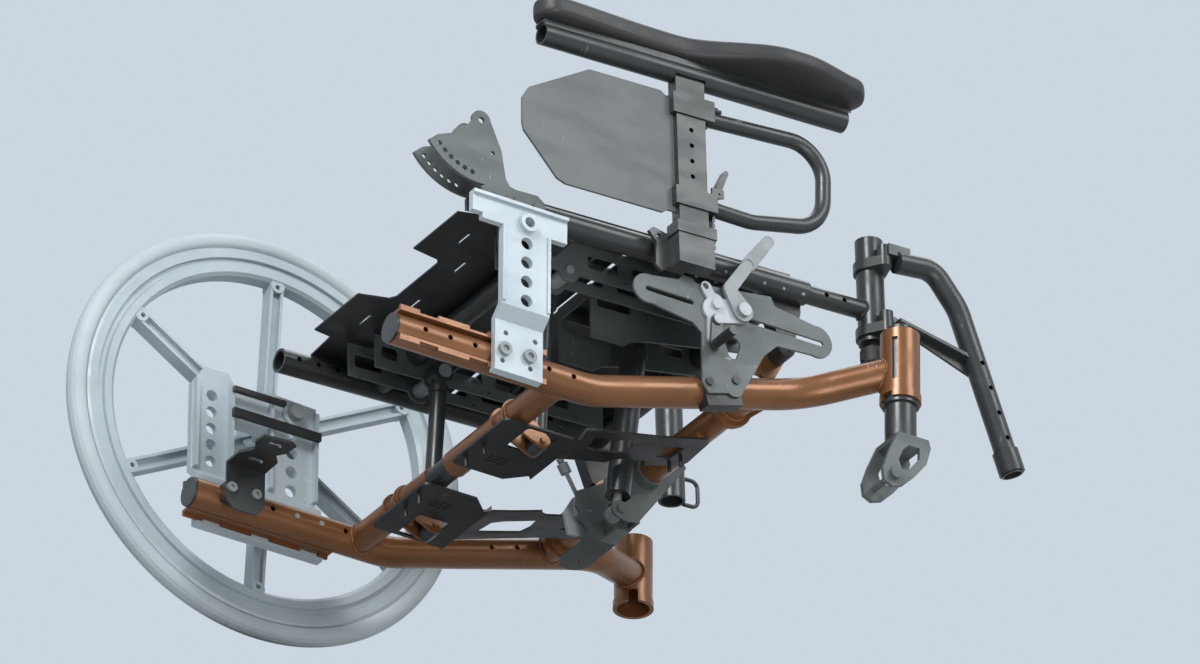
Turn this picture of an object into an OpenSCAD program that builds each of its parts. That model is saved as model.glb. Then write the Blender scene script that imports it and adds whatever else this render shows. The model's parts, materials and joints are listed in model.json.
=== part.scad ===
// Tilting manual wheelchair base with its seat frame, stripped to the bare frame for service.
// Millimetres, +X to the sitter's right, +Y forward, +Z up.
// The origin of the output is the centre of the mouth of the empty left caster housing.

/* [Base frame] */
// Outside diameter of the two copper side rails
rail_od = 36; // [34:1:37]
// Wall of the side rails
rail_wall = 2.5; // [2:0.5:3]
// Outside diameter of the copper cross sleeves
cross_od = 32; // [30.5:0.5:32]
// Outside diameter of the caster housings
housing_od = 45; // [44:0.5:46]

/* [Rear wheel] */
// Distance from the middle of the chair to the middle of the tyre
wheel_x = 313; // [311:1:322]
// Width of the tyre
tyre_width = 25; // [22:1:28]
// Number of spokes
spoke_count = 6; // [3:1:8]

/* [Seat frame] */
// Outside diameter of the rear part of the seat rails
seat_rail_od = 28.6; // [27.4:0.2:29.2]
// Thickness of the seat sheet
pan_sheet = 2; // [1.5:0.5:3]

/* [Armrest] */
// Length of the arm pad
pad_length = 430; // [380:5:440]
// Height of the arm pad above its board
pad_height = 28; // [22:1:34]
// Thickness of the side guard
guard_sheet = 3; // [2:0.5:4]

/* [Footrest hanger] */
// Outside diameter of the hanger tube
hanger_od = 25.4; // [24:0.2:26]
// How far the hanger tube reaches below the seat rails
hanger_drop = 178; // [150:2:190]

/* [Hidden] */
$fn = 48;
origin_pos = [-281, 478, 165];
seat_lean = 2.1;
rail_x = 217.5;
rail_r = rail_od / 2;
rail_bore = rail_r - rail_wall;
rail_rear = -149;
rail_knee = [rail_x, 108, 98];
rail_bend = [rail_x, 385, 179.1];
rail_slope = atan2(81.1, 277);
house_x = 281;
house_y = 478;
house_r = housing_od / 2;
house_bore = 19;
cross_r = cross_od / 2;
core_r = 14;
rear_cross = [68, 98];
front_cross = [318, 159.5];
hole_r = 3.2;
hole_pitch = 32;
first_hole = -116;
tray_sheet = 2.5;
tray_floor = 78;
tray_top = tray_floor + tray_sheet;
tray_slope = 0.2694;
post_x = 115;
post_r = 9.5;
post_foot = [103, 76];
tilt_seat = [112.6, 281.9];
pin_r = 5;
fit = 0.05;
gap = 0.3;
weld = 0.25;
step = 0.02;
axle_z = 258;
axle_r = 6.3;
panel_wall = 8;
panel_in = 236;
panel_out = panel_in + panel_wall;
plate_in = panel_in + 13.5;
plate_out = plate_in + panel_wall;
lip = 3.5;
rim_out = 238;
rim_in = 203;
hub_half = 20;
seat_x = 212;
seat_r = seat_rail_od / 2;
seat_z = 306;
seat_bore = 11;
front_r = 11;
recv_y = 485;
recv_r = 16;
recv_bore = 12.8;
hinge = [236, 489];
track_rise = 15;
track_top = seat_z + track_rise;
strut_x = 60;
strut_top_seat = [266.8, 296.3];
strut_foot_at = [240.5, 58];
arm_x = 251;
post_y0 = 200;
post_y1 = 238;
hang_r = hanger_od / 2;
lock_pivot = [289.7, 243];
shoe_pivot = [256.6, 221.7];
shoe_at = [255, 190.5];

// A point drawn on the level seat, moved to where it lies on the leaning seat.
function on_seat(p) = [112 + (p[0] - 112) * cos(seat_lean) - (p[1] - 306) * sin(seat_lean),
    306 + (p[0] - 112) * sin(seat_lean) + (p[1] - 306) * cos(seat_lean)];
tilt_axis = on_seat(tilt_seat);
strut_top = on_seat(strut_top_seat);
strut_len = norm(strut_top - strut_foot_at);
strut_lean = atan2(strut_top[0] - strut_foot_at[0], strut_top[1] - strut_foot_at[1]);

module in_base() {
    translate(-origin_pos)
        children();
}

// Things on the seat are drawn level, then raised by the lean of the seat.
module in_seat() {
    translate(-origin_pos)
        translate([0, 112, 306])
            rotate([seat_lean, 0, 0])
                translate([0, -112, -306])
                    children();
}

// Profile in the plane across the chair: first value forward, second value up.
module sheet_x(x0, x1) {
    translate([x0, 0, 0])
        rotate([90, 0, 90])
            linear_extrude(height = x1 - x0)
                children();
}

module bar_x(x0, x1, yz, r) {
    translate([x0, yz[0], yz[1]])
        rotate([0, 90, 0])
            cylinder(r = r, h = x1 - x0);
}

module bar_y(y0, y1, x, z, r) {
    translate([x, y0, z])
        rotate([-90, 0, 0])
            cylinder(r = r, h = y1 - y0);
}

module box(a, b) {
    translate(a)
        cube(b - a);
}

module rod(a, b, r) {
    d = b - a;
    translate(a)
        rotate([0, acos(d[2] / norm(d)), atan2(d[1], d[0])])
            cylinder(r = r, h = norm(d));
}

// Two rounds and the strip between them.
module link2d(p, q, r1, r2) {
    d = norm(q - p);
    a = atan2(q[1] - p[1], q[0] - p[0]);
    b = acos((r1 - r2) / d);
    s1 = r1 - 0.05;
    s2 = r2 - 0.05;
    u = [cos(a + b), sin(a + b)];
    v = [cos(a - b), sin(a - b)];
    translate(p)
        circle(r = r1);
    translate(q)
        circle(r = r2);
    polygon([p + s1 * u, q + s2 * u, q + s2 * v, p + s1 * v]);
}

module slot2d(p, q, r) {
    link2d(p, q, r, r);
}

module round_rect2d(a, b, r) {
    translate([a[0] + r, a[1]])
        square([b[0] - a[0] - 2 * r, b[1] - a[1]]);
    translate([a[0], a[1] + r])
        square([b[0] - a[0], b[1] - a[1] - 2 * r]);
    for (x = [a[0] + r, b[0] - r], y = [a[1] + r, b[1] - r])
        translate([x, y])
            circle(r = r);
}

function unit(v) = v / norm(v);
function turn(p, i) = acos(unit(p[i] - p[i - 1]) * unit(p[i + 1] - p[i]));
function cutback(p, k, i) = (i <= 0 || i >= len(p) - 1) ? 0 : k[i] * tan(turn(p, i) / 2);

// A round bar through the points p, each corner bent to the radius listed in k.
module bent_bar(p, k, r) {
    for (i = [0 : len(p) - 2]) {
        u = unit(p[i + 1] - p[i]);
        rod(p[i] + u * (cutback(p, k, i) - (i > 0 ? weld : 0)),
            p[i + 1] - u * (cutback(p, k, i + 1) - (i < len(p) - 2 ? weld : 0)), r);
    }
    for (i = [1 : len(p) - 2]) {
        u = unit(p[i] - p[i - 1]);
        v = unit(p[i + 1] - p[i]);
        c = p[i] + unit(v - u) * k[i] / cos(turn(p, i) / 2);
        a = p[i] - u * cutback(p, k, i);
        e = unit(a - c);
        n = cross(e, u);
        multmatrix([[e[0], u[0], n[0], c[0]], [e[1], u[1], n[1], c[1]], [e[2], u[2], n[2], c[2]],
            [0, 0, 0, 1]])
            rotate_extrude(angle = turn(p, i), $fn = 72)
                translate([k[i], 0])
                    circle(r = r - step, $fn = 40);
    }
}

module both() {
    children();
    mirror([1, 0, 0])
        children();
}

rail_path = [[rail_x, rail_rear, 98], rail_knee, rail_bend, [house_x, house_y, 208]];

module rail_body() {
    difference() {
        bent_bar(rail_path, [0, 120, 120, 0], rail_r);
        bar_y(rail_rear - 1, 86, rail_x, 98, rail_bore);
        translate([house_x, house_y, 150])
            cylinder(r = house_r, h = 120);
        for (i = [0 : 6])
            bar_x(rail_x - 20, rail_x + 20, [first_hole + i * hole_pitch, 98], hole_r, $fn = 24);
        for (y = [237, 271])
            bar_x(rail_x - 20, rail_x, [y, 98 + (y - 108) * tan(rail_slope)], hole_r, $fn = 24);
    }
}

module side_rail_right() {
    color("#96643a")
        in_base()
            rail_body();
}

module side_rail_left() {
    color("#96643a")
        in_base()
            mirror([1, 0, 0])
                rail_body();
}

module housing_body() {
    translate([house_x, house_y, 165])
        difference() {
            union() {
                cylinder(r = house_r, h = 88);
                cylinder(r = house_r + 1.2, h = 9);
            }
            translate([0, 0, -1])
                cylinder(r = house_bore, h = 90);
        }
}

module caster_housing_right() {
    color("#96643a")
        in_base()
            difference() {
                housing_body();
                translate([house_x, house_y, 187])
                    rotate([0, 0, -48.7])
                        box([10, -3.2, 0], [40, 3.2, 54]);
                translate([house_x, house_y, 164])
                    rotate([0, 0, -75])
                        box([10, -7, 0], [40, 7, 7]);
            }
}

module caster_housing_left() {
    color("#96643a")
        in_base()
            difference() {
                mirror([1, 0, 0])
                    housing_body();
                translate([-house_x, house_y, 164])
                    rotate([0, 0, -31.9]) {
                        box([10, -5.5, 0], [40, 5.5, 12]);
                        translate([10, 0, 12])
                            rotate([0, 90, 0])
                                cylinder(r = 5.5, h = 30, $fn = 32);
                    }
            }
}

module flange_half() {
    difference() {
        translate([0, 40, 0])
            rotate([90, 0, 0])
                linear_extrude(height = 40 - rail_rear)
                    difference() {
                        union() {
                            translate([221, 113])
                                square([panel_in - 221, lip]);
                            translate([panel_in - lip, 113])
                                square([lip, 2 * lip]);
                            translate([221, 83 - lip])
                                square([panel_in - 221, lip]);
                            translate([panel_in - lip, 83 - 2 * lip])
                                square([lip, 2 * lip]);
                        }
                        translate([rail_x, 98])
                            circle(r = rail_r);
                    }
        for (y = [-124 : 64 : 30])
            box([228, y, 70], [240, y + 24, 80]);
        for (y = [-124 : 64 : 30])
            box([228, y, 116], [240, y + 24, 124]);
    }
}

module flange_strips() {
    color("#96643a")
        in_base()
            both()
                flange_half();
}

module rail_plugs() {
    color("#3a3d3d")
        in_base()
            both() {
                bar_y(rail_rear - 3, rail_rear, rail_x, 98, rail_r - 0.8);
                difference() {
                    bar_y(rail_rear, rail_rear + 12, rail_x, 98, rail_bore);
                    bar_y(rail_rear + 2, rail_rear + 13, rail_x, 98, rail_bore - 2);
                }
            }
}

module sleeve_pair(yz, right_end, left_end, slope) {
    difference() {
        union() {
            bar_x(right_end, rail_x - 5, yz, cross_r);
            bar_x(-rail_x + 5, left_end, yz, cross_r);
        }
        bar_x(-rail_x, rail_x, yz, core_r);
        for (s = [-1, 1])
            if (slope)
                rod([s * rail_x, 108, 98], [s * rail_x, 385, 179.1], rail_r);
            else
                bar_y(-40, 108, s * rail_x, 98, rail_r);
    }
}

module rear_cross_sleeves() {
    color("#96643a")
        in_base()
            sleeve_pair(rear_cross, -3, -44, false);
}

module rear_cross_core() {
    color("#3a3d3d")
        in_base()
            difference() {
                bar_x(-150, 110, rear_cross, core_r);
                bar_x(-151, 111, rear_cross, core_r - 2.5);
            }
}

module front_cross_sleeves() {
    color("#96643a")
        in_base()
            sleeve_pair(front_cross, 14, -18, true);
}

module front_cross_core() {
    color("#3a3d3d")
        in_base()
            difference() {
                bar_x(-110, 110, front_cross, core_r);
                bar_x(-111, 111, front_cross, core_r - 2.5);
            }
}

// Plate from the hoop round the front cross tube up to the seat bumper.
module gusset_plates() {
    color("#96643a")
        in_base()
            both() {
                sheet_x(177, 183)
                    difference() {
                        union() {
                            link2d(front_cross, [375, 242], 24, 12);
                            link2d(front_cross + [-4, -4], [352, 186], 20, 18);
                        }
                        translate(front_cross)
                            circle(r = cross_r);
                        translate([352, 205])
                            circle(r = 8.5);
                    }
                sheet_x(171, 177)
                    difference() {
                        translate(front_cross)
                            circle(r = 22);
                        translate(front_cross)
                            circle(r = cross_r);
                    }
            }
}

module bumpers() {
    color("#151515")
        in_base()
            both()
                difference() {
                    bar_x(183, 206, [375, 242], 11);
                    bar_x(203, 207, [375, 242], 6);
                }
}

tray_edge = [[72, 136], [70, 190], [64.5, 240], [64, 300], [66, 324], [74, 327], [125, 323],
    [135, 312], [136, 255], [147, 160], [147, 136]];

module tray_plan() {
    difference() {
        union() {
            round_rect2d([27, 43], [145, 140], 9);
            polygon(tray_edge);
        }
        translate([27, 112])
            rotate(45)
                square([30, 60]);
        round_rect2d([92, 76], [140, 116], 5);
        for (x = [54, 59.5, 65])
            translate([x, 72])
                square([2, 24]);
        polygon([[101, 176], [127, 171], [124, 228], [111, 233], [91, 231], [96, 190]]);
        polygon([[85, 278], [113, 272], [112, 300], [84, 298]]);
        slot2d([strut_x, 238], [strut_x, 260], 17);
    }
}

// Height of the sloping part of the tray over the floor.
function tray_face(y) = tray_top + 16 + (y - 147) * tray_slope;

module tray_body() {
    intersection() {
        translate([0, 0, 60])
            linear_extrude(height = 100)
                tray_plan();
        sheet_x(20, 160)
            polygon([[40, tray_floor], [139, tray_floor], [149, tray_face(149) - tray_sheet],
                [330, tray_face(330) - tray_sheet], [330, tray_face(330)], [147, tray_face(147)],
                [137, tray_top], [40, tray_top]]);
    }
    for (p = [[84, 53], [50, 50]])
        translate([p[0], p[1], tray_floor - 14])
            cylinder(r = 2.25, h = 14, $fn = 20);
    for (p = [[74, 303], [90, 308]])
        translate([p[0], p[1], 124])
            cylinder(r = 2.25, h = 14, $fn = 20);
}

module tray_right() {
    color("#141414")
        in_base()
            tray_body();
}

module tray_left() {
    color("#141414")
        in_base()
            mirror([1, 0, 0])
                tray_body();
}

module tray_saddles() {
    color("#96643a")
        in_base()
            both()
                sheet_x(116, 131)
                    difference() {
                        polygon([[304, tray_face(304)], [317, tray_face(317)], [317, 150],
                            [304, 150]]);
                        translate(front_cross)
                            circle(r = cross_r);
                    }
}

module clevis_cheek() {
    difference() {
        union() {
            translate(rear_cross)
                circle(r = 19.5);
            translate([50, tray_top])
                square([42, 16]);
            link2d([84, 88], post_foot, 12, 9);
        }
        translate(rear_cross)
            circle(r = cross_r);
        translate(post_foot)
            circle(r = 4, $fn = 32);
        translate([40, 50])
            square([36.5, tray_top - 50]);
    }
}

module post_clevises() {
    color("#96643a")
        in_base()
            both() {
                sheet_x(post_x - 13.5, post_x - 10)
                    clevis_cheek();
                sheet_x(post_x + 10, post_x + 13.5)
                    clevis_cheek();
                bar_x(post_x - 16, post_x + 16, post_foot, 4, $fn = 32);
            }
}

// Posts that carry the seat; the eye at the top is the tilt bearing.
module tilt_posts() {
    color("#5a5f5f")
        in_base()
            both()
                difference() {
                    union() {
                        rod([post_x, post_foot[0] + 0.3, post_foot[1] + 6],
                            [post_x, tilt_axis[0] - 0.4, tilt_axis[1] - 8], post_r);
                        bar_x(post_x - 9.5, post_x + 9.5, post_foot, 9.4);
                        bar_x(post_x - 9, post_x + 9, tilt_axis, 13);
                        rod([post_x, 112.9, 256], [post_x, 113, 264], 12);
                    }
                    bar_x(post_x - 12, post_x + 12, tilt_axis, pin_r + fit, $fn = 40);
                    bar_x(post_x - 12, post_x + 12, post_foot, 4, $fn = 32);
                }
}

module centre_plate() {
    color("#697070")
        in_base() {
            sheet_x(-4, 0)
                difference() {
                    polygon([[278, 56], [298, 80], [372, 184], [366, 196], [322, 198], [290, 184],
                        [262, 132], [228, 112], [226, 92], [243, 66], [243, 56]]);
                    translate(front_cross)
                        circle(r = core_r);
                    slot2d([268, 96], [288, 122], 5);
                    translate([345, 180])
                        circle(r = 5, $fn = 32);
                }
            difference() {
                bar_x(0, 14, front_cross, 19);
                bar_x(-1, 15, front_cross, core_r);
            }
            translate([0, 0, 56])
                linear_extrude(height = 4)
                    difference() {
                        union() {
                            translate([-58, 243])
                                square([54, 35]);
                            translate([-58, 260.5])
                                circle(r = 17.5);
                        }
                        translate([-56, 260.5])
                            circle(r = 4, $fn = 32);
                    }
        }
}

module strut_foot() {
    color("#a9b4b6")
        in_base() {
            for (x = [strut_x - 11, strut_x + 8])
                sheet_x(x, x + 3)
                    difference() {
                        union() {
                            link2d(strut_foot_at, [250, 56], 11, 11);
                            polygon([[243, 45.2], [266, 47], [266, 84], [262, 84], [246, 68]]);
                        }
                        translate(strut_foot_at)
                            circle(r = pin_r, $fn = 40);
                    }
            box([0, 262, 64], [strut_x - 11, 266, 84]);
            box([strut_x - 8, 262, 47], [strut_x + 8, 266, 84]);
            bar_x(strut_x - 14, strut_x + 14, strut_foot_at, pin_r, $fn = 40);
        }
}

// Release for the tilt: a guide block on the centre plate and the rod that runs in it.
rel_a = [-20, 220, 151];
rel_b = [-20, 247, 105];
rel_u = (rel_b - rel_a) / norm(rel_b - rel_a);

module latch_block() {
    color("#c4d2dc")
        in_base()
            difference() {
                union() {
                    sheet_x(-26, -4)
                        polygon([[238, 92], [262, 84], [274, 96], [262, 118], [238, 118]]);
                    sheet_x(-30, -26)
                        polygon([[232, 70], [256, 70], [262, 84], [262, 118], [238, 118], [226, 96]]);
                }
                rod(rel_a, rel_b + 60 * rel_u, 2.5 + fit, $fn = 32);
            }
}

module release_rod() {
    color("#aeb6b9")
        in_base() {
            rod(rel_a - 4 * rel_u, rel_b + 34 * rel_u, 2.5, $fn = 32);
            difference() {
                rod(rel_a - 2 * rel_u, rel_a + 10 * rel_u, 6.5, $fn = 32);
                rod(rel_a - 4 * rel_u, rel_a + 12 * rel_u, 2.5, $fn = 32);
            }
            rod(rel_a - 9 * rel_u, rel_a - 4 * rel_u, 4, $fn = 32);
        }
}

module panel_path() {
    polygon([[plate_in, 290], [plate_in, 151], [panel_in, 138], [panel_in, 75],
        [panel_in - lip, 75], [panel_in - lip, 71], [panel_out, 71], [panel_out, 135],
        [plate_out, 148], [plate_out, 290]]);
}

module axle_plate_right() {
    color("#b8cad4")
        in_base()
            difference() {
                union() {
                    intersection() {
                        translate([0, 30, 0])
                            rotate([90, 0, 0])
                                linear_extrude(height = 62)
                                    panel_path();
                        box([200, -80, 60], [300, 60, 281]);
                    }
                    box([plate_in, -71, 249], [plate_out, 52, 281]);
                    box([plate_in, -71, 277], [plate_out + 4, 52, 281]);
                    bar_x(plate_in - 8, plate_out + 6, [0, axle_z], 11);
                    for (y = [-32, 26.5])
                        box([plate_out, y, 152], [plate_out + 2, y + 3.5, 249]);
                }
                bar_x(200, 290, [0, axle_z], 6.35, $fn = 40);
                for (i = [1 : 4])
                    bar_x(230, 270, [0, axle_z - 24.5 * i], 7.5, $fn = 40);
                for (y = [-20, 12])
                    bar_x(230, 250, [y, 98], hole_r, $fn = 24);
                for (p = [[-18, 120], [20, 120], [-22, 84], [14, 84]])
                    bar_x(230, 250, p, 3.2, $fn = 24);
                box([plate_in - 1, -72, 240], [plate_out + 5, -58, 256]);
            }
}

left_edge = [[-132, 71], [-132, 262], [-116, 287], [-84, 287], [-76, 272], [-56, 270], [-32, 279],
    [31, 276], [33, 71]];

module axle_plate_left() {
    color("#b8cad4")
        in_base()
            mirror([1, 0, 0])
                difference() {
                    union() {
                        intersection() {
                            translate([0, 60, 0])
                                rotate([90, 0, 0])
                                    linear_extrude(height = 220)
                                        panel_path();
                            sheet_x(200, 300)
                                polygon(left_edge);
                        }
                        for (y = [-130, -84, -32, 27])
                            box([plate_in - 8, y, 152], [plate_in, y + 4, 266]);
                        bar_x(plate_in - 4, plate_out, [0, axle_z], 14);
                    }
                    bar_x(200, 290, [0, axle_z], axle_r, $fn = 40);
                    for (i = [1 : 4])
                        bar_x(230, 270, [0, axle_z - 24.5 * i], 7.5, $fn = 40);
                    for (i = [0 : 4])
                        bar_x(230, 270, [-106, 252 - 21.3 * i], 7, $fn = 40);
                    for (y = [-116, -20, 12])
                        bar_x(230, 250, [y, 98], hole_r, $fn = 24);
                    box([plate_in - 1, -78, 160], [plate_out + 1, -36, 222]);
                }
}

module head_bolt(s, y) {
    bar_x(s > 0 ? 199 : -panel_out, s > 0 ? panel_out : -199, [y, 98], hole_r, $fn = 24);
    difference() {
        bar_x(s > 0 ? panel_out : -panel_out - 5, s > 0 ? panel_out + 5 : -panel_out, [y, 98], 8);
        if (s > 0)
            bar_x(panel_out + 2.5, panel_out + 6, [y, 98], 4, $fn = 32);
    }
}

module frame_bolts() {
    color("#c9d3d8")
        in_base() {
            for (y = [-20, 12]) {
                head_bolt(1, y);
                head_bolt(-1, y);
            }
            for (y = [-116, -84]) {
                bar_x(-200, -184, [y, 98], hole_r, $fn = 24);
                difference() {
                    bar_x(-184, -180, [y, 98], 6, $fn = 32);
                    bar_x(-182, -179, [y, 98], 2.5);
                }
            }
        }
}

module axle_bars() {
    color("#151515")
        in_base() {
            box([-plate_in + 8, -84, 228], [-plate_in + 14, 31, 238]);
            box([-plate_in + 8, -84, 260], [-plate_in + 14, -16, 266]);
        }
}

module wheel_axle() {
    color("#aeb6b9")
        in_base() {
            bar_x(-wheel_x - hub_half - 6, -236, [0, axle_z], axle_r, $fn = 40);
            difference() {
                bar_x(-wheel_x + hub_half + gap, -plate_out, [0, axle_z], 10);
                bar_x(-wheel_x, -plate_out + 1, [0, axle_z], axle_r, $fn = 40);
            }
            bar_x(-wheel_x - hub_half - 9, -wheel_x - hub_half - 1, [0, axle_z], 10);
            difference() {
                bar_x(-plate_in + 4, -236, [0, axle_z], 9);
                bar_x(-238, -235, [0, axle_z], 4);
            }
        }
}

module accessory_bracket() {
    color("#4c5050")
        in_base()
            difference() {
                union() {
                    sheet_x(-187, -184)
                        polygon([[-122, 132], [-72, 132], [-72, 84], [-82, 73], [-112, 73],
                            [-122, 84]]);
                    translate([0, 0, 129])
                        linear_extrude(height = 3)
                            difference() {
                                polygon([[-187, -122], [-158, -122], [-146, -112], [-140, -112],
                                    [-127, -119], [-111, -117], [-108, -83], [-113, -74],
                                    [-133, -76], [-142, -83], [-155, -73], [-187, -72]]);
                                slot2d([-122, -103], [-122, -90], 3);
                                slot2d([-163, -104], [-163, -90], 3);
                            }
                    sheet_x(-203, -187)
                        polygon([[-120, 88], [-80, 88], [-80, 108], [-120, 108]]);
                }
                bar_y(-160, -40, -rail_x, 98, rail_r);
                for (y = [-116, -84])
                    bar_x(-210, -180, [y, 98], hole_r, $fn = 24);
            }
}

module lock_slot_plate() {
    color("#697070")
        in_base()
            sheet_x(238, 241)
                difference() {
                    union() {
                        polygon([[160, 225], [166, 255], [209, 262], [214, 269], [228, 269],
                            [232, 264], [331, 278], [337, 267], [395, 258], [398, 221],
                            [340, 217], [322, 198], [294, 142], [250, 128.5], [241, 139.5],
                            [240, 203], [228, 213], [183, 219]]);
                        slot2d([168, 238], [200, 240], 18);
                        translate([393, 239.3])
                            circle(r = 20);
                        translate([283, 146])
                            circle(r = 12);
                    }
                    slot2d([169, 238], [226, 238], 3.25);
                    slot2d([304, 238], [398, 238], 3.25);
                    link2d([281, 200], [281, 188], 10, 6);
                    for (p = [[250, 143], [285, 155]])
                        translate(p)
                            circle(r = hole_r, $fn = 24);
                    for (p = [[256.6, 242.8], shoe_pivot, lock_pivot])
                        translate(p)
                            circle(r = 3, $fn = 24);
                }
}

module lock_clamp() {
    color("#151515")
        in_base() {
            difference() {
                translate(rail_knee)
                    rotate([rail_slope, 0, 0])
                        box([2, 142, -24], [20.5, 190, 17]);
                rod([rail_x, 108, 98], [rail_x, 385, 179.1], rail_r);
                for (p = [[250, 143], [285, 155]])
                    bar_x(232, 240, p, hole_r, $fn = 24);
            }
            for (p = [[250, 143], [285, 155]]) {
                bar_x(236, 241, p, hole_r, $fn = 24);
                bar_x(241, 243.5, p, 5, $fn = 32);
            }
        }
}

module lock_base() {
    color("#dfe4ea")
        in_base() {
            sheet_x(241, 244)
                difference() {
                    union() {
                        link2d([256.6, 246], [255, 200], 11, 9);
                        link2d([256, 236], lock_pivot, 16, 13);
                        link2d([244, 262], [254, 246], 7, 6);
                    }
                    translate([243, 263])
                        circle(r = 4, $fn = 32);
                }
            for (p = [[256.6, 242.8]]) {
                bar_x(238, 241, p, 3, $fn = 24);
                bar_x(244, 248, p, 6, $fn = 32);
            }
            bar_x(238, 241, lock_pivot, 3, $fn = 24);
            bar_x(244, 252, lock_pivot, 5, $fn = 40);
            bar_x(252, 254, lock_pivot, 8, $fn = 32);
            bar_x(238, 241, shoe_pivot, 3, $fn = 24);
            bar_x(244, 249, shoe_pivot, 4, $fn = 40);
            bar_x(249, 251, shoe_pivot, 6, $fn = 32);
        }
}

module ring_x(profile_x) {
    translate([profile_x, 0, axle_z])
        rotate([0, 90, 0])
            rotate_extrude($fn = 128)
                children();
}

// Cast wheel: rim with a groove each side, I shaped spokes with a boss at the rim, and a hub.
module wheel_rim() {
    color("#b9cbd6")
        in_base()
            difference() {
                union() {
                    ring_x(-wheel_x)
                        polygon([[rim_in, -8], [rim_in + 4, -11], [216, -11], [217, -7], [224, -7],
                            [225, -11], [rim_out - 3, -11], [rim_out, -9], [rim_out - 4, 0],
                            [rim_out, 9], [rim_out - 3, 11], [225, 11], [224, 7], [217, 7],
                            [216, 11], [rim_in + 4, 11], [rim_in, 8]]);
                    bar_x(-wheel_x - hub_half, -wheel_x + hub_half, [0, axle_z], 22);
                    bar_x(-wheel_x - 6, -wheel_x + 6, [0, axle_z], 34);
                    for (i = [0 : spoke_count - 1])
                        translate([-wheel_x, 0, axle_z])
                            rotate([87.5 + i * 360 / spoke_count, 0, 0]) {
                                box([-3, 20, -7.5], [3, 204, 7.5]);
                                box([-9, 20, 5], [9, 204, 8.5]);
                                box([-9, 20, -8.5], [9, 204, -5]);
                                bar_x(-10, 10, [201, 0], 9, $fn = 32);
                            }
                }
                bar_x(-wheel_x - 30, -wheel_x + 30, [0, axle_z], axle_r + fit, $fn = 40);
                for (i = [0 : spoke_count - 1])
                    translate([-wheel_x, 0, axle_z])
                        rotate([87.5 + i * 360 / spoke_count, 0, 0])
                            bar_x(-12, 12, [199, 0], 3, $fn = 24);
            }
}

module wheel_tyre() {
    color("#c6d3da")
        in_base()
            ring_x(-wheel_x)
                difference() {
                    union() {
                        translate([246, 0])
                            circle(r = tyre_width / 2);
                        translate([rim_out - 1, -9])
                            square([9, 18]);
                    }
                    polygon([[220, -20], [rim_out, -20], [rim_out, -9], [rim_out - 4, 0],
                        [rim_out, 9], [rim_out, 20], [220, 20]]);
                }
}

module caster_stem() {
    color("#5a5f5f")
        in_base()
            translate([house_x, house_y, 0]) {
                translate([0, 0, 114])
                    cylinder(r = 18, h = 46);
                translate([0, 0, 160])
                    cylinder(r = 21, h = 4.7);
                translate([0, 0, 164.7])
                    cylinder(r = house_bore - fit, h = 85);
                translate([0, 0, 249.7])
                    cylinder(r = 14, h = 12);
            }
}

module caster_fork() {
    color("#697070")
        in_base() {
            difference() {
                union() {
                    for (x = [house_x - 23.5, house_x + 18.5])
                        sheet_x(x, x + 5)
                            difference() {
                                polygon([[460, 114], [500, 114], [503, 104], [497, 82], [480, 60],
                                    [466, 46], [452, 41], [441, 46], [439, 60], [447, 84]]);
                                polygon([[474, 100], [488, 100], [488, 86], [474, 68], [464, 66],
                                    [460, 78], [466, 92]]);
                            }
                    box([house_x - 18.5, 460, 108], [house_x + 18.5, 500, 114]);
                }
                bar_x(house_x - 30, house_x + 30, [454, 57], 4, $fn = 32);
            }
            bar_x(house_x - 24, house_x + 24, [454, 57], 4, $fn = 32);
            bar_x(house_x - 29, house_x - 23.5, [454, 57], 7, $fn = 32);
            bar_x(house_x + 23.5, house_x + 29, [454, 57], 7, $fn = 32);
        }
}

module seat_rail() {
    difference() {
        bar_y(-41, 395, seat_x, seat_z, seat_r);
        bar_y(-42, 396, seat_x, seat_z, seat_bore);
        for (i = [0 : 3])
            bar_x(190, 235, [-22 + 25.6 * i, seat_z], hole_r, $fn = 24);
    }
    difference() {
        bar_y(300, recv_y, seat_x, seat_z, front_r);
        bar_y(299, recv_y + 1, seat_x, seat_z, front_r - 2.5);
        translate([seat_x, recv_y, 250])
            cylinder(r = recv_r, h = 160);
        for (y = [418, 442])
            bar_x(212, 235, [y, seat_z], 3, $fn = 24);
    }
}

module seat_rails() {
    color("#4a4e4e")
        in_seat()
            both()
                seat_rail();
}

module seat_cross_tubes() {
    color("#4a4e4e")
        in_seat()
            difference() {
                for (y = [89, 372])
                    difference() {
                        bar_x(-seat_x + 5, seat_x - 5, [y, seat_z], 12.5);
                        bar_x(-seat_x, seat_x, [y, seat_z], 10);
                    }
                for (s = [-1, 1])
                    bar_y(-42, 396, s * seat_x, seat_z, seat_r);
            }
}

// Flat bars along the top of the rails that the seat sheet is riveted to.
module seat_tracks() {
    color("#2c2e2e")
        in_seat()
            both()
                difference() {
                    box([206, -1, seat_z + 6], [219, 372, track_top]);
                    bar_y(-42, 396, seat_x, seat_z, seat_r);
                }
}

module pan_rear() {
    color("#101010")
        in_seat()
            translate([0, 0, track_top])
                linear_extrude(height = pan_sheet)
                    difference() {
                        polygon([[-155, -28], [-60, -28], [-52, 8], [-44, 13], [44, 13], [52, 8],
                            [60, -28], [155, -28], [160, -4], [209, -1], [209, 184], [-209, 184],
                            [-209, -1], [-160, -4]]);
                        for (s = [-1, 1]) {
                            slot2d([s * 118, 10], [s * 96, 10], 1.6);
                            slot2d([s * 118, 60], [s * 96, 60], 1.6);
                            slot2d([s * 60, 40], [s * 38, 40], 1.6);
                        }
                    }
}

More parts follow.
